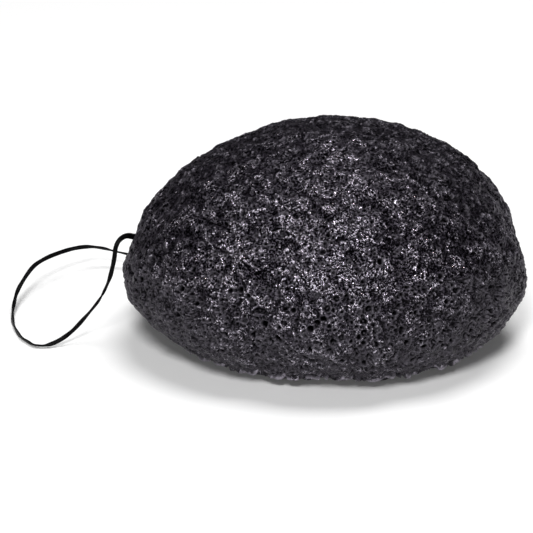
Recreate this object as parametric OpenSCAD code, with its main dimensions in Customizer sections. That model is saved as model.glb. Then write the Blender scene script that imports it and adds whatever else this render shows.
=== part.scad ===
/* [Sponge] */
// Length of the sponge from left to right, at its widest ring
sponge_length = 78; // [60:1:100]
// Depth of the sponge from front to back, at its widest ring
sponge_depth = 75; // [60:1:100]
// Height of the crown above the flat base
sponge_height = 43; // [34:1:56]
// Height of the widest ring above the base
widest_height = 13; // [10:0.5:16]
// How far the crown leans to the right
crown_lean = 3; // [0:0.5:6]
// How far the base lies to the right of the widest ring
base_shift = 2; // [0:0.5:4]
// How deep the foam is cut flat underneath
base_cut = 0.5; // [0.3:0.1:1]

/* [Folds and dents] */
// Depth of the two broad folds that run down the front
fold_depth = 0.8; // [0:0.1:1.5]
// Half width of a fold
fold_width = 5; // [3:0.5:8]
// Depth of the crease at the front foot
crease_depth = 1.4; // [0:0.1:2.5]
// Half width of the crease
crease_width = 3.5; // [2:0.5:6]
// Height at which the crease has mostly faded
crease_height = 9; // [5:0.5:14]
// Height of the slow lumps that make the outline uneven
lump_height = 0.5; // [0:0.1:1]
// How far the thread draws the foam in at each hole
dimple_depth = 1.2; // [0.4:0.1:2]
// Half width of the dent round each hole
dimple_width = 5; // [3:0.5:8]

/* [Thread] */
// Width of the flat two-ply thread
thread_width = 0.9; // [0.6:0.05:1.2]
// Thickness of the flat thread
thread_thickness = 0.5; // [0.3:0.05:0.6]
// Gap left all round the thread and its knot in the foam
thread_clearance = 0.3; // [0.2:0.05:0.4]
// Height of the front hole above the base
front_hole_height = 19; // [18:0.5:21]
// Height of the rear hole above the base
rear_hole_height = 9.5; // [8:0.5:12]
// How deep in each hole the free loop begins
loop_seat = 1; // [0.5:0.1:2]
// How far the loop runs on straight from there, in line with the channel
exit_run = 4.5; // [3:0.5:6]
// Length of the flared mouth at each hole
mouth_length = 3; // [2:0.5:5]
// How much wider the mouth is than the channel
mouth_flare = 0.8; // [0.4:0.1:1.2]

/* [Knot] */
// Turns of thread wrapped round in the stopper knot
knot_turns = 3; // [2:1:4]
// Diameter of the thread where it is drawn up in the knot
knot_strand = 0.7; // [0.5:0.05:0.8]
// Gap between one turn of the knot and the next
knot_turn_gap = 0.5; // [0.45:0.05:0.7]
// Gap between the turns and the thread that they grip
knot_grip_gap = 0.1; // [0.05:0.05:0.2]

/* [Hidden] */
$fn = 48;
overrun = 4;

// The dome is a stack of rings. These shape it between the base, the widest ring and the crown.
base_share = 0.6;
rim_power = 1.85;
rim_root = 1.4;
crown_power = 1.9;
crown_root = 2;
lean_power = 1.5;
segments = 48;
rim_rings = 7;
crown_rings = 15;

// Angles are turned from the right-hand end, so that 270 degrees is the front.
fold_angles = [251, 292];
crease_angle = 266;
front_hole_angle = 174;
rear_hole_angle = 136;

// Each slow wave: waves round the sponge, start angle, waves from base to crown, share of lump_height
wave_shares = [[3, 200, 0.5, 0.5], [5, 30, 1, 0.5], [9, 0, 1.5, 0.4]];

function crown_up(z) = max(0, (z - widest_height) / (sponge_height - widest_height));
function rim_down(z) = max(0, (widest_height - z) / (widest_height + base_cut));
function crown_fill(up) = pow(max(0, 1 - pow(up, crown_power)), 1 / crown_root);
function rim_fill(down) = base_share + (1 - base_share) * pow(max(0, 1 - pow(down, rim_power)), 1 / rim_root);
function ring_fill(z) = z > widest_height ? crown_fill(crown_up(z)) : rim_fill(rim_down(z));
function ring_middle(z) = crown_lean * pow(crown_up(z), lean_power) + base_shift * rim_down(z);

function bell(gap, width) = exp(-pow(gap / width, 2));
function turn_between(a, b) = abs((a - b + 540) % 360 - 180);
function arc_between(a, b) = turn_between(a, b) * PI / 180 * sponge_length / 2;
function sum(list, i = 0) = i < len(list) ? list[i] + sum(list, i + 1) : 0;

function folds_in(a, z) = fold_depth * sin(180 * max(0, z) / sponge_height)
    * sum([for (f = fold_angles) bell(arc_between(a, f), fold_width)]);
function crease_in(a, z) = crease_depth * bell(arc_between(a, crease_angle), crease_width)
    * bell(z, crease_height);
function dimple_in(a, z, hole_a, hole_z) = dimple_depth
    * bell(norm([arc_between(a, hole_a), z - hole_z]), dimple_width);
function lumps_out(a, z) = lump_height * ring_fill(z)
    * sum([for (w = wave_shares) w[3] * sin(w[0] * a + w[1] + 360 * w[2] * z / sponge_height)]);
function dents(a, z) = lumps_out(a, z) - folds_in(a, z) - crease_in(a, z)
    - dimple_in(a, z, front_hole_angle, front_hole_height)
    - dimple_in(a, z, rear_hole_angle, rear_hole_height);

function loose_point(a, z) = [
    ring_middle(z) + (sponge_length / 2 * ring_fill(z) + dents(a, z)) * cos(a),
    (sponge_depth / 2 * ring_fill(z) + dents(a, z)) * sin(a),
    z];

rim_heights = [for (i = [rim_rings : -1 : 1])
    widest_height - (widest_height + base_cut) * sin(90 * i / rim_rings)];
crown_heights = [for (i = [0 : crown_rings - 1])
    widest_height + (sponge_height - widest_height) * sin(90 * i / crown_rings)];
ring_heights = concat(rim_heights, crown_heights);
loose_points = [for (z = ring_heights) for (j = [0 : segments - 1]) loose_point(360 * j / segments, z)];

// The rings are moved so that the sponge stands centred over the origin.
loose_x = [for (p = loose_points) p[0]];
loose_y = [for (p = loose_points) p[1]];
centring = [-(min(loose_x) + max(loose_x)) / 2, -(min(loose_y) + max(loose_y)) / 2, 0];
function dome_point(a, z) = loose_point(a, z) + centring;

front_hole = dome_point(front_hole_angle, front_hole_height);
rear_hole = dome_point(rear_hole_angle, rear_hole_height);
stitch = front_hole - rear_hole;
stitch_length = norm(stitch);
stitch_way = stitch / stitch_length;
channel_radius = thread_width / 2 + thread_clearance;

knot_pitch = knot_strand + knot_turn_gap;
knot_length = knot_turns * knot_pitch + knot_strand;
coil_radius = thread_width / 2 + knot_grip_gap + knot_strand / 2;
knot_radius = coil_radius + knot_strand / 2;
pocket_radius = knot_radius + thread_clearance;
pocket_half = knot_length / 2 + thread_clearance;

// Puts a shape on the straight stitch: its zero is the rear hole, and its Z runs to the front hole.
module on_stitch() {
    translate(rear_hole)
        rotate([0, acos(stitch_way[2]), atan2(stitch_way[1], stitch_way[0])])
            children();
}

// A closed skin over rings of points that all have the same count, with flat or pointed ends.
function ring_faces(count, rings) = [for (i = [0 : rings - 2]) for (j = [0 : count - 1]) for (half = [0, 1])
    let (a = i * count + j, b = i * count + (j + 1) % count, c = a + count, d = b + count)
    half == 0 ? [a, c, b] : [b, c, d]];

module dome() {
    bottom = len(loose_points);
    top = bottom + 1;
    last_ring = bottom - segments;
    points = concat(
        [for (p = loose_points) p + centring],
        [[base_shift, 0, -base_cut] + centring, [crown_lean, 0, sponge_height] + centring]);
    faces = concat(
        ring_faces(segments, len(ring_heights)),
        [for (j = [0 : segments - 1]) [bottom, j, (j + 1) % segments]],
        [for (j = [0 : segments - 1]) [top, last_ring + (j + 1) % segments, last_ring + j]]);
    polyhedron(points = points, faces = faces);
}

module mouth() {
    translate([0, 0, -mouth_length / 2])
        cylinder(r1 = channel_radius, r2 = channel_radius + mouth_flare, h = mouth_length);
}

// The needle's channel from hole to hole, with the room that the knot presses for itself in the middle.
module thread_channel() {
    on_stitch() {
        translate([0, 0, -overrun])
            cylinder(r = channel_radius, h = stitch_length + 2 * overrun);
        translate([0, 0, stitch_length / 2])
            rotate_extrude()
                polygon([
                    [0, -pocket_half - pocket_radius],
                    [pocket_radius, -pocket_half],
                    [pocket_radius, pocket_half],
                    [0, pocket_half + pocket_radius]]);
        translate([0, 0, stitch_length])
            mouth();
        rotate([180, 0, 0])
            mouth();
    }
}

module sponge_body() {
    color("#37353a")
        difference() {
            dome();
            translate([-sponge_length, -sponge_depth, -base_cut - overrun])
                cube([2 * sponge_length, 2 * sponge_depth, base_cut + overrun]);
            thread_channel();
        }
}

// The stretch of the thread that lies hidden in the channel.
module inner_thread() {
    color("#141414")
        on_stitch()
            translate([0, 0, loop_seat])
                cylinder(d = thread_width, h = stitch_length - 2 * loop_seat);
}

// A tube through a list of points. Its section has the given half sizes, and turns as it goes.
function unit(v) = v / norm(v);
function way_at(path, i) = unit(path[min(i + 1, len(path) - 1)] - path[max(i - 1, 0)]);
function tube_ring(middle, way, across, sides, half_sizes, turn) =
    let (u = unit(cross(way, across)), v = cross(u, way))
    [for (k = [0 : sides - 1])
        let (a = 360 * k / sides, p = half_sizes[0] * cos(a), q = half_sizes[1] * sin(a))
        middle + u * (p * cos(turn) - q * sin(turn)) + v * (p * sin(turn) + q * cos(turn))];

module tube(path, across, sides, half_sizes, full_turn = 0) {
    rings = len(path);
    points = [for (i = [0 : rings - 1])
        each tube_ring(path[i], way_at(path, i), across, sides, half_sizes, full_turn * i / (rings - 1))];
    faces = concat(
        ring_faces(sides, rings),
        [[for (k = [0 : sides - 1]) k]],
        [[for (k = [sides - 1 : -1 : 0]) (rings - 1) * sides + k]]);
    polyhedron(points = points, faces = faces);
}

// The knot is the thread's own end, wrapped round and drawn up tight so that it can't slip out.
knot_sides = 6;
knot_steps = 24;
knot_path = [for (i = [0 : knot_turns * knot_steps])
    let (turns = i / knot_steps)
    [coil_radius * cos(360 * turns), coil_radius * sin(360 * turns), (turns - knot_turns / 2) * knot_pitch]];
knot_gaps = [for (i = [0 : len(knot_path) - 1]) for (j = [i + knot_steps / 2 : len(knot_path) - 1])
    norm(knot_path[i] - knot_path[j]) - knot_strand];
echo(least_gap_between_turns = min(knot_gaps));

module stopper_knot() {
    color("#141414")
        on_stitch()
            translate([0, 0, stitch_length / 2])
                tube(knot_path, [0, 0, 1], knot_sides, [knot_strand / 2, knot_strand / 2]);
}

// The free loop leaves both holes along the line of the stitch, and its points were chosen by hand.
loop_sides = 8;
loop_steps = 2;
loop_turn = 150;
exit_shares = [0, 1 / 2, 1];
loop_across = [-0.44, 0.53, 0.72];
loop_points = [
    [-39, -0.6, 20.6],
    [-39.9, -1.6, 20],
    [-40.4, -2.2, 18.8],
    [-40.6, -2.5, 17.2],
    [-41, -2.7, 15.2],
    [-41.6, -2.9, 13],
    [-42.6, -3.2, 10.6],
    [-44.1, -3.2, 8],
    [-46.5, -3.2, 5],
    [-49, -4.4, 2.6],
    [-51.5, -5.8, 1.2],
    [-53.8, -6.7, 0.6],
    [-56, -6.4, 0.5],
    [-57.8, -4.3, 0.5],
    [-59.5, -1.1, 0.5],
    [-60.9, 3.8, 0.5],
    [-61.6, 8.5, 0.8],
    [-61.6, 12, 1.7],
    [-61.3, 15, 2.9],
    [-60.5, 18.5, 4],
    [-58.6, 24.5, 5.3],
    [-56.4, 28.7, 5.6],
    [-53.8, 32.5, 5.5],
    [-51, 36, 5.2],
    [-48.2, 38.5, 4.7],
    [-45.2, 39.6, 4],
    [-42, 38.9, 3.4],
    [-37.5, 37, 3.2],
    [-33, 35.6, 4],
    [-29.2, 34.2, 5.2],
    [-26.6, 33, 6],
    [-24.5, 31.6, 6.5],
    [-23.8, 29.6, 7.3]];

exit_ways = [for (share = exit_shares) stitch_way * (exit_run * share - loop_seat)];
loop_route = concat(
    [for (way = exit_ways) front_hole + way],
    loop_points,
    [for (i = [len(exit_ways) - 1 : -1 : 0]) rear_hole - exit_ways[i]]);

function spline(p, q, r, s, t) = (2 * q + (r - p) * t + (2 * p - 5 * q + 4 * r - s) * t * t
    + (3 * q - p - 3 * r + s) * t * t * t) / 2;
function smooth(route, steps) = concat(
    [for (i = [0 : len(route) - 2]) for (k = [0 : steps - 1])
        spline(
            i > 0 ? route[i - 1] : 2 * route[0] - route[1],
            route[i],
            route[i + 1],
            i < len(route) - 2 ? route[i + 2] : 2 * route[i + 1] - route[i],
            k / steps)],
    [route[len(route) - 1]]);

module hanging_loop() {
    color("#141414")
        tube(smooth(loop_route, loop_steps), loop_across, loop_sides,
            [thread_width / 2, thread_thickness / 2], loop_turn);
}

sponge_body();
inner_thread();
stopper_knot();
hanging_loop();
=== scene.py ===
import math

import bmesh
import bpy
import numpy as np
from mathutils import Matrix, Vector, kdtree, noise


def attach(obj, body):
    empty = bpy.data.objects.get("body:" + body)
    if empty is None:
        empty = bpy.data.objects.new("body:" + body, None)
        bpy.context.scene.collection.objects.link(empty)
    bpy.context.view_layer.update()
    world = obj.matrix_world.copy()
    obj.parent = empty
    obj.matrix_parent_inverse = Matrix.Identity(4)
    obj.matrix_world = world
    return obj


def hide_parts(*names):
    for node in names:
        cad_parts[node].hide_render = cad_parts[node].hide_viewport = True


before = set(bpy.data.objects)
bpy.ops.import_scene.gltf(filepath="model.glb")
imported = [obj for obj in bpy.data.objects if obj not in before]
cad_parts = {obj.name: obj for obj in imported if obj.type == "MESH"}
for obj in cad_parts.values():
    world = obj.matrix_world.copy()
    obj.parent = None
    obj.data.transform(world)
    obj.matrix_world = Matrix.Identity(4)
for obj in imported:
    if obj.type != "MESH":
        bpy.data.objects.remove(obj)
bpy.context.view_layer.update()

# Camera.
# It looks at the sponge from the front and 20 degrees above the table, from 0.6 m away, so that
# the sponge fills most of the square picture with the thread loop lying to its left.
PICTURE_WIDTH = 0.1035
CAMERA_DISTANCE = 0.6
CAMERA_ELEVATION = math.radians(20)
LOOKED_AT = Vector((-0.01124, 0, 0.01436))

camera_data = bpy.data.cameras.new("camera")
camera_data.lens = camera_data.sensor_width * CAMERA_DISTANCE / PICTURE_WIDTH
camera = bpy.data.objects.new("camera", camera_data)
away = Vector((0, -math.cos(CAMERA_ELEVATION), math.sin(CAMERA_ELEVATION)))
camera.location = LOOKED_AT + away * CAMERA_DISTANCE
camera.rotation_euler = (-away).to_track_quat("-Z", "Y").to_euler()
bpy.context.scene.collection.objects.link(camera)
bpy.context.scene.camera = camera

# Hanging loop.
# One length of flat black waxed thread, two plies twisted together and pressed flat. The needle drew
# it through the foam, so its two ends go into the foam in line with the straight stretch inside.
THREAD_WIDTH = 0.0009
THREAD_THICKNESS = 0.0005
LOOP_SEAT = 0.001
EXIT_RUN = 0.0045
EXIT_SHARES = (0, 1 / 2, 1)
FRONT_HOLE = Vector((-0.0365418, 0.00394563, 0.019))
REAR_HOLE = Vector((-0.025833, 0.0246854, 0.0095))
LOOP_POINTS = [
    (-0.039, -0.0006, 0.0206), (-0.0399, -0.0016, 0.02), (-0.0404, -0.0022, 0.0188),
    (-0.0406, -0.0025, 0.0172), (-0.041, -0.0027, 0.0152), (-0.0416, -0.0029, 0.013),
    (-0.0426, -0.0032, 0.0106), (-0.0441, -0.0032, 0.008), (-0.0465, -0.0032, 0.005),
    (-0.049, -0.0044, 0.0026), (-0.0515, -0.0058, 0.0012), (-0.0538, -0.0067, 0.0006),
    (-0.056, -0.0064, 0.0005), (-0.0578, -0.0043, 0.0005), (-0.0595, -0.0011, 0.0005),
    (-0.0609, 0.0038, 0.0005), (-0.0616, 0.0085, 0.0008), (-0.0616, 0.012, 0.0017),
    (-0.0613, 0.015, 0.0029), (-0.0605, 0.0185, 0.004), (-0.0586, 0.0245, 0.0053),
    (-0.0564, 0.0287, 0.0056), (-0.0538, 0.0325, 0.0055), (-0.051, 0.036, 0.0052),
    (-0.0482, 0.0385, 0.0047), (-0.0452, 0.0396, 0.004), (-0.042, 0.0389, 0.0034),
    (-0.0375, 0.037, 0.0032), (-0.033, 0.0356, 0.004), (-0.0292, 0.0342, 0.0052),
    (-0.0266, 0.033, 0.006), (-0.0245, 0.0316, 0.0065), (-0.0238, 0.0296, 0.0073),
]
LOOP_STEPS = 12

# The flat side faces this way where the thread isn't turned. The list gives how many degrees it has
# turned about its own line at shares of its length, so that it shows now its edge, now its flat side.
LOOP_ACROSS = Vector((0, -0.5, 0.87))
LOOP_ROLLS = (
    (0, 75), (0.05, 60), (0.1, 20), (0.2, 0), (0.25, -60), (0.29, -100), (0.34, -150), (0.395, -240),
    (0.5, -300), (0.605, -375), (0.66, -400), (0.71, -440), (0.75, -480), (1, -480),
)

# The plies leave a groove along each flat side, and sway as they twist round one another.
SECTION_SIDES = 20
PLY_GROOVE, GROOVE_SHARPNESS = 0.3, 6
PLY_TWISTS, PLY_SWAY = 26, 0.25

# Where it comes out of the front hole it isn't pressed flat yet, and is this much thicker.
MOUTH_SPREAD, MOUTH_SHARE = 0.45, 0.07

stitch_way = (FRONT_HOLE - REAR_HOLE).normalized()
exit_ways = [stitch_way * (EXIT_RUN * share - LOOP_SEAT) for share in EXIT_SHARES]
loop_route = [FRONT_HOLE + way for way in exit_ways]
loop_route += [Vector(point) for point in LOOP_POINTS]
loop_route += [REAR_HOLE - way for way in reversed(exit_ways)]


def smooth_route(route, steps):
    """Points of the smooth curve that passes through every point of the route."""
    ends = [2 * route[0] - route[1], *route, 2 * route[-1] - route[-2]]
    curve = []
    for p, q, r, s in zip(ends, ends[1:], ends[2:], ends[3:]):
        for k in range(steps):
            t = k / steps
            curve.append((2 * q + (r - p) * t + (2 * p - 5 * q + 4 * r - s) * t * t
                          + (3 * q - p - 3 * r + s) * t * t * t) / 2)
    return curve + [route[-1]]


def flat_section(bm, half_width, half_thickness):
    """Starts the mesh with one ring of points, and gives the flat grooved section that they follow."""
    bmesh.ops.create_circle(bm, segments=SECTION_SIDES, radius=1)
    section = []
    for vert in bm.verts:
        angle = math.atan2(vert.co.y, vert.co.x)
        waist = 1 - PLY_GROOVE * abs(math.sin(angle)) ** GROOVE_SHARPNESS
        section.append((half_width * math.cos(angle), half_thickness * math.sin(angle) * waist))
    return section


def thread_mesh(name, curve, half_width, half_thickness):
    """A flat two-ply thread: a grooved section, extruded from ring to ring along the curve."""
    bm = bmesh.new()
    section = flat_section(bm, half_width, half_thickness)
    ring = list(bm.verts)
    edges = list(bm.edges)
    for i, middle in enumerate(curve):
        way = (curve[min(i + 1, len(curve) - 1)] - curve[max(i - 1, 0)]).normalized()
        side = way.cross(LOOP_ACROSS).normalized()
        upright = side.cross(way)
        share = i / (len(curve) - 1)
        roll = np.interp(share, [place for place, turn in LOOP_ROLLS], [turn for place, turn in LOOP_ROLLS])
        lie = math.radians(roll) + PLY_SWAY * math.sin(2 * math.pi * PLY_TWISTS * share)
        spread = 1 + MOUTH_SPREAD * math.exp(-(share / MOUTH_SHARE) ** 2)
        if i > 0:
            grown = bmesh.ops.extrude_edge_only(bm, edges=edges)["geom"]
            ring = [item for item in grown if isinstance(item, bmesh.types.BMVert)]
            edges = [item for item in grown if isinstance(item, bmesh.types.BMEdge)
                     and item.verts[0] in ring and item.verts[1] in ring]
        for vert, (wide, thick) in zip(ring, section):
            u = spread * (wide * math.cos(lie) - thick * math.sin(lie))
            v = spread * (wide * math.sin(lie) + thick * math.cos(lie))
            vert.co = middle + side * u + upright * v
    bmesh.ops.holes_fill(bm, edges=[edge for edge in bm.edges if edge.is_boundary])
    bmesh.ops.recalc_face_normals(bm, faces=bm.faces)
    mesh = bpy.data.meshes.new(name)
    bm.to_mesh(mesh)
    bm.free()
    for face in mesh.polygons:
        face.use_smooth = len(face.vertices) == 4
    return mesh


loop_curve = smooth_route(loop_route, LOOP_STEPS)
loop_mesh = thread_mesh("hanging_thread", loop_curve, THREAD_WIDTH / 2, THREAD_THICKNESS / 2)
hanging_thread = bpy.data.objects.new("hanging_thread", loop_mesh)
bpy.context.scene.collection.objects.link(hanging_thread)


def node(material, kind, **inputs):
    """Adds a node to the material and sets the inputs that are named, with _ for a space."""
    made = material.node_tree.nodes.new(kind)
    for name, value in inputs.items():
        made.inputs[name.replace("_", " ")].default_value = value
    return made


def give(material, value, socket):
    """Gives a node's input a plain value, or joins another node's output to it."""
    if isinstance(value, bpy.types.NodeSocket):
        material.node_tree.links.new(value, socket)
    else:
        socket.default_value = value


FIBRE_SCALE, FIBRE_DETAIL = 5000, 3
FIBRE_HEIGHT, FIBRE_STRENGTH = 0.00004, 0.5
WAX_COLOURS = ((0.0004, 0.0004, 0.0005, 1), (0.005, 0.0048, 0.0055, 1))
WAX_ROUGHNESS = 0.45
WAX_IOR = 1.15


def waxed_thread():
    """Near-black waxed thread: fine fibres under a low wax gloss."""
    material = bpy.data.materials.new("waxed_thread")
    material.use_nodes = True
    shader = material.node_tree.nodes["Principled BSDF"]
    place = node(material, "ShaderNodeTexCoord")
    fibres = node(material, "ShaderNodeTexNoise", Scale=FIBRE_SCALE, Detail=FIBRE_DETAIL)
    give(material, place.outputs["Object"], fibres.inputs["Vector"])
    wax = node(material, "ShaderNodeValToRGB")
    for stop, colour in zip(wax.color_ramp.elements, WAX_COLOURS):
        stop.color = colour
    give(material, fibres.outputs["Fac"], wax.inputs["Fac"])
    give(material, wax.outputs["Color"], shader.inputs["Base Color"])
    bump = node(material, "ShaderNodeBump", Strength=FIBRE_STRENGTH, Distance=FIBRE_HEIGHT)
    give(material, fibres.outputs["Fac"], bump.inputs["Height"])
    give(material, bump.outputs["Normal"], shader.inputs["Normal"])
    shader.inputs["Roughness"].default_value = WAX_ROUGHNESS
    shader.inputs["IOR"].default_value = WAX_IOR
    return material


thread_material = waxed_thread()
loop_mesh.materials.append(thread_material)
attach(hanging_thread, "loop")
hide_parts("hanging_loop")

# Hidden thread and stopper knot.
# The same thread runs straight through the needle's channel, and its end is wrapped round it in the
# middle and drawn up tight. Both lie inside the foam and keep the loop from slipping out.
for hidden in ("inner_thread", "stopper_knot"):
    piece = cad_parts[hidden]
    piece.data.materials.clear()
    piece.data.materials.append(thread_material)

# Foam body.
# One half-ball of dark konjac foam, frothed, set in a mould and dried: a fine cellular skin with
# larger open bubbles towards the flat base, sunken folds down its front and a lopsided crown.
SPONGE_LENGTH = 0.078
SPONGE_DEPTH = 0.075
SPONGE_HEIGHT = 0.043
WIDEST_HEIGHT = 0.013
CROWN_LEAN, LEAN_POWER = 0.003, 1.5
CROWN_POWER = 1.9
BASE_SHIFT = 0.002
BASE_CUT = 0.0005
BASE_SHARE = 0.6
RIM_POWER, RIM_ROOT = 1.85, 1.4
FOLD_DEPTH, FOLD_WIDTH, FOLD_ANGLES = 0.0008, 0.005, (251, 292)
CREASE_DEPTH, CREASE_WIDTH, CREASE_HEIGHT, CREASE_ANGLE = 0.0014, 0.0035, 0.009, 266
DIMPLE_DEPTH, DIMPLE_WIDTH = 0.0012, 0.005
HOLES = ((174, 0.019), (136, 0.0095))

# Slow waves round the sponge: how many, their start in degrees, their rise and their share of the height.
LUMP_HEIGHT = 0.0005
WAVES = ((3, 200, 0.5, 0.5), (5, 30, 1, 0.5), (9, 0, 1.5, 0.4))

# The mesh starts as a cube of six grids. The profile of the dome is walked in these many steps.
GRID_CELLS = 256
CUBE_FACES = ((0, 0), (90, 0), (180, 0), (270, 0), (0, 90), (0, 270))
MERGE_REACH = 0.0001
PROFILE_STEPS, BASE_STEPS = 400, 100


def crown_up(z):
    """How far up the crown a height lies, from 0 at the widest ring to 1 at the top."""
    return np.clip((z - WIDEST_HEIGHT) / (SPONGE_HEIGHT - WIDEST_HEIGHT), 0, 1)


def rim_down(z):
    """How far down the lower rim a height lies, from 0 at the widest ring."""
    return np.clip((WIDEST_HEIGHT - z) / (WIDEST_HEIGHT + BASE_CUT), 0, 1)


def ring_fill(z):
    """The share of the widest ring that the ring at this height reaches."""
    crown = np.sqrt(1 - crown_up(z) ** CROWN_POWER)
    rim = BASE_SHARE + (1 - BASE_SHARE) * (1 - rim_down(z) ** RIM_POWER) ** (1 / RIM_ROOT)
    return np.where(z > WIDEST_HEIGHT, crown, rim)


def bell(gap, width):
    """A bell curve: 1 where there is no gap, and next to nothing two widths away."""
    return np.exp(-(gap / width) ** 2)


def turn_from(angle, other):
    """The turn from one angle to the other, between -180 and 180 degrees."""
    return (angle - other + 540) % 360 - 180


def arc_between(angle, other):
    """The way round the widest ring between two angles, in metres."""
    return np.radians(np.abs(turn_from(angle, other))) * SPONGE_LENGTH / 2


def dents(angle, z):
    """How far the foam stands out of the plain dome, in metres: slow lumps less folds and dimples."""
    out = np.zeros_like(z)
    for waves, start, rise, share in WAVES:
        out += LUMP_HEIGHT * share * ring_fill(z) * np.sin(
            np.radians(waves * angle + start + 360 * rise * z / SPONGE_HEIGHT))
    for fold in FOLD_ANGLES:
        out -= FOLD_DEPTH * np.sin(np.pi * z / SPONGE_HEIGHT) * bell(arc_between(angle, fold), FOLD_WIDTH)
    out -= CREASE_DEPTH * bell(arc_between(angle, CREASE_ANGLE), CREASE_WIDTH) * bell(z, CREASE_HEIGHT)
    for hole_angle, hole_height in HOLES:
        gap = np.hypot(arc_between(angle, hole_angle), z - hole_height)
        out -= DIMPLE_DEPTH * bell(gap, DIMPLE_WIDTH)
    return out


def dome_points(ways):
    """Moves the points of a unit ball onto the dome, so that every part of it gets its share of them."""
    turn = np.linspace(0, math.pi / 2, PROFILE_STEPS)
    z = np.concatenate([WIDEST_HEIGHT + (SPONGE_HEIGHT - WIDEST_HEIGHT) * np.cos(turn),
                        WIDEST_HEIGHT * (1 - np.sin(turn))])
    radius = ring_fill(z) * (SPONGE_LENGTH + SPONGE_DEPTH) / 4
    inward = np.linspace(1, 0, BASE_STEPS)
    z = np.concatenate([z, np.zeros(BASE_STEPS)])
    share = np.concatenate([np.ones(2 * PROFILE_STEPS), inward])
    radius = np.concatenate([radius, radius[-1] * inward])
    area = np.hypot(np.diff(z), np.diff(radius)) * (radius[1:] + radius[:-1])
    area = np.concatenate([[0], np.cumsum(area)])
    area /= area[-1]
    asked = (1 - ways[:, 2]) / 2
    z = np.interp(asked, area, z)
    share = np.interp(asked, area, share)
    angle = np.degrees(np.arctan2(ways[:, 1], ways[:, 0])) % 360
    out = dents(angle, z)
    lean = CROWN_LEAN * crown_up(z) ** LEAN_POWER + BASE_SHIFT * rim_down(z)
    points = np.stack([
        lean + share * (SPONGE_LENGTH / 2 * ring_fill(z) + out) * np.cos(np.radians(angle)),
        share * (SPONGE_DEPTH / 2 * ring_fill(z) + out) * np.sin(np.radians(angle)),
        z], 1)
    middle = (points.min(0) + points.max(0)) / 2
    return points - middle * (1, 1, 0)


bm = bmesh.new()
for about_x, about_y in CUBE_FACES:
    turned = Matrix.Rotation(math.radians(about_x), 4, "X") @ Matrix.Rotation(math.radians(about_y), 4, "Y")
    bmesh.ops.create_grid(bm, x_segments=GRID_CELLS, y_segments=GRID_CELLS, size=1,
                          matrix=turned @ Matrix.Translation((0, 0, 1)))
bmesh.ops.remove_doubles(bm, verts=bm.verts, dist=MERGE_REACH)
foam_mesh = bpy.data.meshes.new("foam_body")
bm.to_mesh(foam_mesh)
bm.free()


def mesh_points(mesh):
    """The places of the mesh's points, one row each."""
    values = np.zeros(len(mesh.vertices) * 3)
    mesh.vertices.foreach_get("co", values)
    return values.reshape(-1, 3)


def mesh_normals(mesh):
    """The way out of the mesh at each of its points, one row each."""
    values = np.zeros(len(mesh.vertices) * 3, np.float32)
    mesh.vertex_normals.foreach_get("vector", values)
    return values.reshape(-1, 3).astype(float)


# The tangent spaces the cube's points at even angles, before they are drawn onto the unit ball.
ways = np.tan(mesh_points(foam_mesh) * math.pi / 4)
ways /= np.linalg.norm(ways, axis=1)[:, None]
points = dome_points(ways)
foam_mesh.vertices.foreach_set("co", points.ravel())
foam_mesh.update()
normals = mesh_normals(foam_mesh)
heights = points[:, 2]
angles = np.degrees(np.arctan2(ways[:, 1], ways[:, 0])) % 360

# The skin is crumpled at every scale: slow swellings, then ever finer wrinkles with sharp crests.
# Each has its size and its height in metres. The crests are where both stand high.
SWELLINGS = ((0.011, 0.0009), (0.0045, 0.0008))
SWELLING_MIDDLE = 0.25
WRINKLES = ((0.0021, 0.0004), (0.0011, 0.00025), (0.0006, 0.00015))
SWELLING_CREST, SWELLING_GAIN = 0.35, 2.8
WRINKLE_CREST, WRINKLE_GAIN = 0.7, 3
NOISE_START = Vector((11.3, 7.7, 3.1))


def noise_over(points, size):
    """Smooth noise at each point, between -1 and 1, with lumps of about the given size."""
    return np.array([noise.noise(Vector(point) / size + NOISE_START) for point in points])


relief = np.zeros(len(points))
for size, tall in SWELLINGS:
    swelling = np.abs(noise_over(points, size))
    relief += tall * (swelling - SWELLING_MIDDLE)
wrinkles = [np.abs(noise_over(points, size)) for size, tall in WRINKLES]
for wrinkle, (size, tall) in zip(wrinkles, WRINKLES):
    relief -= tall * wrinkle
# Painted light: the crests are painted with more pale glints and fewer dark hollows.
crest = SWELLING_CREST * np.clip(swelling * SWELLING_GAIN, 0, 1)
crest += WRINKLE_CREST * (1 - np.clip(wrinkles[0] * WRINKLE_GAIN, 0, 1))

# Drying drew the skin in along narrow upright runs, and along a wandering line down each broad fold.
DRAPE_SIZE, DRAPE_WIDTH, DRAPE_DEPTH = 0.007, 0.05, 0.0005
DRAPE_SQUASH = (1, 1, 0.35)
DRAPE_SLANT = (0.3, 0, 0)
RUN_WIDTH, RUN_WANDER, RUN_WANDER_SIZE = 0.0018, 0.002, 0.008
DRAPE_SHADING = 0.6
drape = bell(noise_over(points * DRAPE_SQUASH + points[:, 2:] * DRAPE_SLANT, DRAPE_SIZE), DRAPE_WIDTH)
for fold in FOLD_ANGLES:
    wander = RUN_WANDER * noise_over(points * (0, 0, 1) + fold, RUN_WANDER_SIZE)
    run = bell(arc_between(angles, fold) - wander, RUN_WIDTH) * np.sin(np.pi * heights / SPONGE_HEIGHT)
    drape = np.maximum(drape, run)
relief -= DRAPE_DEPTH * drape
# Painted shade: along the sunken runs the skin gets fewer glints and more dark hollows.
crest *= 1 - DRAPE_SHADING * drape

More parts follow.
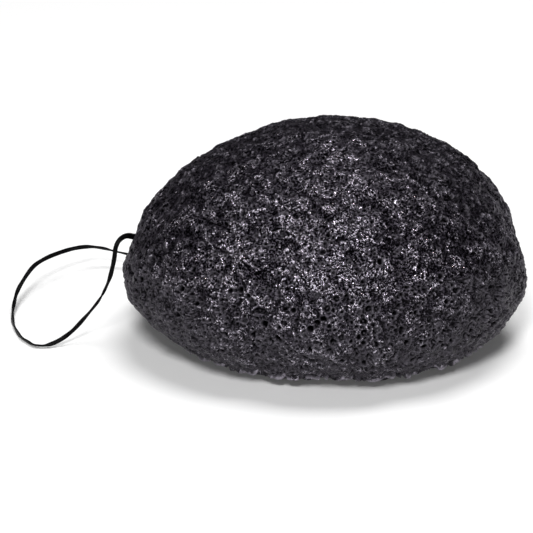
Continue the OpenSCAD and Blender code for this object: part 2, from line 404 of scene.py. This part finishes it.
# The mould's edge left a thin uneven lip just above the base, with a shallow groove under it.
LIP_HEIGHT, LIP_WANDER, LIP_WANDER_SIZE = 0.0024, 0.0012, 0.009
LIP_REACH, LIP_WIDTH, LIP_START = 0.0006, 0.0003, 0.0003
LIP_GROOVE_DROP, LIP_GROOVE_WIDTH = 0.0008, 0.0004
over_lip = heights - LIP_HEIGHT - LIP_WANDER * noise_over(points * (1, 1, 0), LIP_WANDER_SIZE)
lip = bell(over_lip, LIP_WIDTH) - bell(over_lip + LIP_GROOVE_DROP, LIP_GROOVE_WIDTH)
relief += LIP_REACH * lip * (heights > LIP_START)

# Painted light, where the front lamp falls: the front gets more fine lines with pale glossy glints painted
# on them, and the skin is painted darker round the sides and towards the crown as painted shade.
LIT_FRONT_ANGLE, LIT_FRONT_SPREAD, LIT_FRONT_FADE = 266, 45, 0.7
painted_front_light = bell(turn_from(angles, LIT_FRONT_ANGLE), LIT_FRONT_SPREAD) * (1 - LIT_FRONT_FADE * crown_up(heights) ** 2)

# The open bubbles are balls cut into the skin, as deep as each ball reaches. Each kind has its count,
# its least and greatest radius in metres, and how strongly it keeps to the lower half.
BUBBLES = (
    (1200, 0.00036, 0.00068, 0.97),
    (3000, 0.00026, 0.0004, 0.9),
    (9000, 0.00014, 0.0003, 0.0),
)
LOW_TOP, LOW_SPAN = 0.024, 0.014
FOOT_TOP, FOOT_CHANCE = 0.002, 0.3
MOST_SUNK = 0.55
PIT_STRETCH, DEEPEST_PIT, BLACK_DEPTH = 1.5, 0.002, 0.0004
RIMMED_RADIUS, RIM_WIDTH, RIM_LEVEL = 0.00028, 0.00012, 0.6
LIP_RIM_LEVEL, LIP_RIM_WIDTH, LIP_RIM_SIZE, LIP_RIM_LEAST = 4, 0.0002, 0.003, -0.1
WARP_SIZE, WARP_REACH = 0.0009, 0.0002
SEARCH_SHARE = 1.05
GRAIN_HEIGHT = 0.00003
draw = np.random.RandomState(11)
finder = kdtree.KDTree(len(points))
for index, point in enumerate(points):
    finder.insert(point, index)
finder.balance()


def pushed_about(points):
    """The points, each pushed about by a slow random field, so that balls cut there come out ragged."""
    moved = [Vector(point) + noise.noise_vector(Vector(point) / WARP_SIZE) * WARP_REACH for point in points]
    return np.array(moved)


ragged = pushed_about(points)
depth = np.zeros(len(points))
# Painted highlights: a pale line is painted along the lip, in broken stretches.
rim = LIP_RIM_LEVEL * bell(over_lip, LIP_RIM_WIDTH) * (noise_over(points, LIP_RIM_SIZE) > LIP_RIM_LEAST)
low_share = np.clip((LOW_TOP - heights) / LOW_SPAN, 0, 1)
for count, least, most, lowness in BUBBLES:
    chance = (1 - lowness) + lowness * low_share
    chance = np.where(heights < FOOT_TOP, FOOT_CHANCE * chance, chance)
    chosen = draw.choice(len(points), count, p=chance / chance.sum())
    radii = draw.uniform(least, most, count)
    sinks = draw.uniform(0, MOST_SUNK, count)
    for index, radius, sink in zip(chosen, radii, sinks):
        centre = points[index] - normals[index] * radius * sink
        search = radius * SEARCH_SHARE + RIM_WIDTH * 2 + WARP_REACH / 2
        near = np.array([found[1] for found in finder.find_range(centre, search)])
        if len(near) == 0:
            continue
        offset = ragged[near] - centre
        along = np.einsum("ij,ij->i", offset, normals[near])
        aside = np.einsum("ij,ij->i", offset, offset) - along ** 2
        inside = np.clip(radius ** 2 - aside, 0, None)
        cut = np.where(inside > 0, (along + np.sqrt(inside)) * PIT_STRETCH, 0)
        depth[near] = np.maximum(depth[near], cut)
        # Painted highlights: a pale ring is painted round the mouth of each larger bubble.
        if radius > RIMMED_RADIUS:
            mouth = radius * math.sqrt(1 - sink ** 2)
            past_mouth = np.sqrt(np.clip(aside, 0, None)) - mouth
            rim[near] = np.maximum(rim[near], RIM_LEVEL * bell(past_mouth - RIM_WIDTH, RIM_WIDTH))

# The sponge stands on its flat base, so nothing of the skin reaches below it.
depth = np.minimum(depth, DEEPEST_PIT)
grain = draw.uniform(-GRAIN_HEIGHT, GRAIN_HEIGHT, len(depth))
points = points + normals * (relief + grain - depth)[:, None]
points[:, 2] = np.maximum(points[:, 2], 0)
foam_mesh.vertices.foreach_set("co", points.ravel())
foam_mesh.update()
# The pores' depth is kept so that their bottoms can be painted black as painted shade.
foam_layers = {
    "pore_depth": np.clip(depth / BLACK_DEPTH, 0, 1),
    "pore_rim": rim,
    "crest": crest,
    "low": low_share,
    "painted_front_light": painted_front_light,
}
for name, values in foam_layers.items():
    layer = foam_mesh.attributes.new(name, "FLOAT", "POINT")
    layer.data.foreach_set("value", values.astype(np.float32))
foam_mesh.shade_smooth()
foam_body = bpy.data.objects.new("foam_body", foam_mesh)
bpy.context.scene.collection.objects.link(foam_body)


def combined(material, operation, *values):
    """A Math node of the given operation on numbers or other nodes' outputs."""
    made = node(material, "ShaderNodeMath")
    made.operation = operation
    for socket, value in zip(made.inputs, values):
        give(material, value, socket)
    return made.outputs["Value"]


def ramp_of(material, value, low, high, at_low=0, at_high=1):
    """A Map Range node's output, which goes from one number to another as the value crosses a span."""
    made = node(material, "ShaderNodeMapRange", From_Min=low, From_Max=high, To_Min=at_low, To_Max=at_high)
    give(material, value, made.inputs["Value"])
    return made.outputs["Result"]


def noise_of(material, place, scale, detail, distortion=0):
    """Noise that is fixed to the piece, between 0 and 1."""
    made = node(material, "ShaderNodeTexNoise", Scale=scale, Detail=detail, Distortion=distortion)
    give(material, place.outputs["Object"], made.inputs["Vector"])
    return made.outputs["Fac"]


def layer_of(material, name):
    """What the mesh holds under this name at each of its points."""
    made = node(material, "ShaderNodeAttribute")
    made.attribute_name = name
    return made.outputs["Fac"]


def mixed(material, share, first, second, blend="MIX"):
    """The first colour, with the second laid over it as far as the share says."""
    made = node(material, "ShaderNodeMix")
    made.data_type = "RGBA"
    made.blend_type = blend
    give(material, share, made.inputs["Factor"])
    give(material, first, made.inputs["A"])
    give(material, second, made.inputs["B"])
    return made.outputs["Result"]


CRUMPLE_SCALE, CRUMPLE_DETAIL, CRUMPLE_TWIST = 3000, 1.5, 0.6
CLUSTER_SCALE, CLUSTER_DETAIL = 330, 3
GROUND_COLOURS = ((0.44, (0.004, 0.0034, 0.005, 1)), (0.6, (0.056, 0.0475, 0.0665, 1)))
HOLLOW_SHADE_COLOUR = (0.0015, 0.0013, 0.0018, 1)
GLINT_PAINT_COLOUR = (0.88, 0.82, 0.95, 1)
GLOSS_TINT = (0.95, 0.9, 1, 1)
GLOSS_LEVEL = 0.35
SKIN_BUMP = 0.00015

# Fine lines where a noise crosses its middle, kept in stretches only. They raise the bump, and pale glints
# are painted along them as painted highlights.
STRING_SCALES, STRING_DETAIL, STRING_TWIST = (1500, 2300), 1, 1.2
NOISE_MIDDLE, STRING_WIDTH = 0.5, 0.08
STRETCH_RATIO, STRETCH_DETAIL, STRETCH_SPAN = 1.3, 0, (0.5, 0.62)
STRING_BUMP, RIM_LIGHTENING = 0.25, 0.15

# Each span gives a layer's low and high value and what the ramp makes of them.
CLUSTER_STRINGS = (0.35, 0.65, 0.75, 1.25)
CREST_STRINGS = (0.1, 0.8, 0.4, 1.2)
LIT_FRONT_STRINGS = (0, 1, 0.7, 1.8)
LOW_STRINGS = (0, 1, 1, 0.62)
GLINT_PAINT_SPAN, RIM_GLINT_PAINT = (0.6, 0.9), 0.14
GLINT_PAINT_ROUGHNESS = (0, 1, 0.4, 0.12)
HOLLOW_SPAN = (0.54, 0.5)
LOW_FILLING, CREST_FILLING = 0.03, (0, 0.5, -0.05, 0)
LOW_HOLLOWS = (0, 1, 1, 0.6)
LIT_FRONT_SHADE = (0, 1, 0.38, 1)
LOW_TONE = (0, 1, 1, 0.5)


def fine_lines(material, place, scale):
    """Fine broken lines, which raise the bump and carry the painted glints."""
    drift = noise_of(material, place, scale, STRING_DETAIL, STRING_TWIST)
    off_line = combined(material, "ABSOLUTE", combined(material, "SUBTRACT", drift, NOISE_MIDDLE))
    line = ramp_of(material, off_line, STRING_WIDTH, 0)
    broken = noise_of(material, place, scale * STRETCH_RATIO, STRETCH_DETAIL)
    stretches = ramp_of(material, broken, *STRETCH_SPAN)
    return combined(material, "MULTIPLY", line, stretches)


def scaled_by(material, value, layer, span):
    """The value, times what the ramp over the span makes of the layer."""
    return combined(material, "MULTIPLY", value, ramp_of(material, layer, *span))


def konjac_foam():
    """Dark dried foam: crumpled skin with painted shade in its hollows and pores, and pale glossy flecks
    painted as glints.
    """
    material = bpy.data.materials.new("konjac_foam")
    material.use_nodes = True
    shader = material.node_tree.nodes["Principled BSDF"]
    place = node(material, "ShaderNodeTexCoord")
    pores = layer_of(material, "pore_depth")
    rims = layer_of(material, "pore_rim")
    crests = layer_of(material, "crest")
    low = layer_of(material, "low")
    front_light_paint = layer_of(material, "painted_front_light")
    crumple = noise_of(material, place, CRUMPLE_SCALE, CRUMPLE_DETAIL, CRUMPLE_TWIST)
    clusters = noise_of(material, place, CLUSTER_SCALE, CLUSTER_DETAIL)

    drawn = [fine_lines(material, place, scale) for scale in STRING_SCALES]
    strings = combined(material, "MAXIMUM", *drawn)
    strings = scaled_by(material, strings, clusters, CLUSTER_STRINGS)
    strings = combined(material, "MULTIPLY", strings, combined(material, "SUBTRACT", 1, pores))
    # Painted highlights: more glints on the crests.
    strings = scaled_by(material, strings, crests, CREST_STRINGS)
    # Painted highlights: more lines and glints at the lit front.
    strings = scaled_by(material, strings, front_light_paint, LIT_FRONT_STRINGS)

    height = combined(material, "MULTIPLY_ADD", strings, STRING_BUMP, crumple)
    bump = node(material, "ShaderNodeBump", Distance=SKIN_BUMP)
    give(material, height, bump.inputs["Height"])
    give(material, bump.outputs["Normal"], shader.inputs["Normal"])

    # Painted shade and light on the fine relief: the ground is painted near black where the bump sinks and
    # paler where it rises, and paler on the pore rims.
    ground = node(material, "ShaderNodeValToRGB")
    for stop, (position, colour) in zip(ground.color_ramp.elements, GROUND_COLOURS):
        stop.position = position
        stop.color = colour
    give(material, combined(material, "MULTIPLY_ADD", rims, RIM_LIGHTENING, height), ground.inputs["Fac"])
    # Painted shade: the ground is darker away from the lit front; it is also darker towards the base.
    tone = scaled_by(material, ramp_of(material, front_light_paint, *LIT_FRONT_SHADE), low, LOW_TONE)
    skin = mixed(material, 1, ground.outputs["Color"], tone, "MULTIPLY")

    # Painted shade: the low spots of the crumple, fewer on the crests and on the lower band, and the pores
    # are painted near black and made metallic so that they lose their gloss.
    filled = combined(material, "MULTIPLY_ADD", low, LOW_FILLING, crumple)
    filled = combined(material, "ADD", filled, ramp_of(material, crests, *CREST_FILLING))
    speckle = scaled_by(material, ramp_of(material, filled, *HOLLOW_SPAN), low, LOW_HOLLOWS)
    painted_hollow_shade = combined(material, "MAXIMUM", speckle, pores)
    skin = mixed(material, painted_hollow_shade, skin, HOLLOW_SHADE_COLOUR)

    # Painted highlights: pale flecks stand in for glints along the lines and round the pore rims, and they
    # are glossier too.
    painted_glint = ramp_of(material, scaled_by(material, strings, low, LOW_STRINGS), *GLINT_PAINT_SPAN)
    painted_glint = combined(material, "MAXIMUM", painted_glint, combined(material, "MULTIPLY", rims, RIM_GLINT_PAINT))
    skin = mixed(material, painted_glint, skin, GLINT_PAINT_COLOUR)

    give(material, skin, shader.inputs["Base Color"])
    give(material, painted_hollow_shade, shader.inputs["Metallic"])
    give(material, ramp_of(material, painted_glint, *GLINT_PAINT_ROUGHNESS), shader.inputs["Roughness"])
    shader.inputs["Specular IOR Level"].default_value = GLOSS_LEVEL
    shader.inputs["Specular Tint"].default_value = GLOSS_TINT
    return material


foam_mesh.materials.append(konjac_foam())
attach(foam_body, "sponge")
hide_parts("sponge_body")

# Table and light.
# A plain white table under a large soft lamp almost overhead, with a smaller lamp in front that picks
# out the gloss of the foam.
TABLE_HALF_WIDTH = 4
TABLE_WHITE = (0.95, 0.95, 0.95, 1)
TABLE_BOUNCE = (0.7, 0.7, 0.7, 1)
TABLE_PALING = 0.07
ROOM_LEVEL = 0.06

table_mesh = bpy.data.meshes.new("table")
bm = bmesh.new()
bmesh.ops.create_grid(bm, x_segments=1, y_segments=1, size=TABLE_HALF_WIDTH)
bm.to_mesh(table_mesh)
bm.free()
table = bpy.data.objects.new("table", table_mesh)
bpy.context.scene.collection.objects.link(table)


def white_table():
    """A matt white table, which looks paler than the light that it throws back onto the sponge."""
    material = bpy.data.materials.new("white_table")
    material.use_nodes = True
    shader = material.node_tree.nodes["Principled BSDF"]
    rays = node(material, "ShaderNodeLightPath")
    mirrored = combined(material, "MAXIMUM", rays.outputs["Is Glossy Ray"],
                        rays.outputs["Is Transmission Ray"])
    seen = combined(material, "MAXIMUM", rays.outputs["Is Camera Ray"], mirrored)
    give(material, mixed(material, seen, TABLE_BOUNCE, TABLE_WHITE), shader.inputs["Base Color"])
    give(material, combined(material, "MULTIPLY", seen, TABLE_PALING), shader.inputs["Emission Strength"])
    shader.inputs["Emission Color"].default_value = (1, 1, 1, 1)
    shader.inputs["Roughness"].default_value = 1
    shader.inputs["Specular IOR Level"].default_value = 0
    return material


table_mesh.materials.append(white_table())


def lamp(name, azimuth, elevation, distance, size, level):
    """A round soft lamp that adds its level to what a white face turned towards it shows."""
    data = bpy.data.lights.new(name, "AREA")
    data.shape = "DISK"
    data.size = size
    data.energy = level * math.pi ** 2 * (distance ** 2 + size ** 2 / 4)
    light = bpy.data.objects.new(name, data)
    turn = math.radians(azimuth)
    rise = math.radians(elevation)
    away = Vector((math.sin(turn) * math.cos(rise), -math.cos(turn) * math.cos(rise), math.sin(rise)))
    light.location = away * distance
    light.rotation_euler = away.to_track_quat("Z", "Y").to_euler()
    bpy.context.scene.collection.objects.link(light)


lamp("overhead", azimuth=140, elevation=78, distance=1.6, size=1.0, level=0.64)
lamp("front", azimuth=-8, elevation=42, distance=1.2, size=0.3, level=0.66)

world = bpy.data.worlds.new("world")
bpy.context.scene.world = world
world.use_nodes = True
world.node_tree.nodes["Background"].inputs["Color"].default_value = (1, 1, 1, 1)
world.node_tree.nodes["Background"].inputs["Strength"].default_value = ROOM_LEVEL
bpy.context.scene.view_settings.view_transform = "Standard"
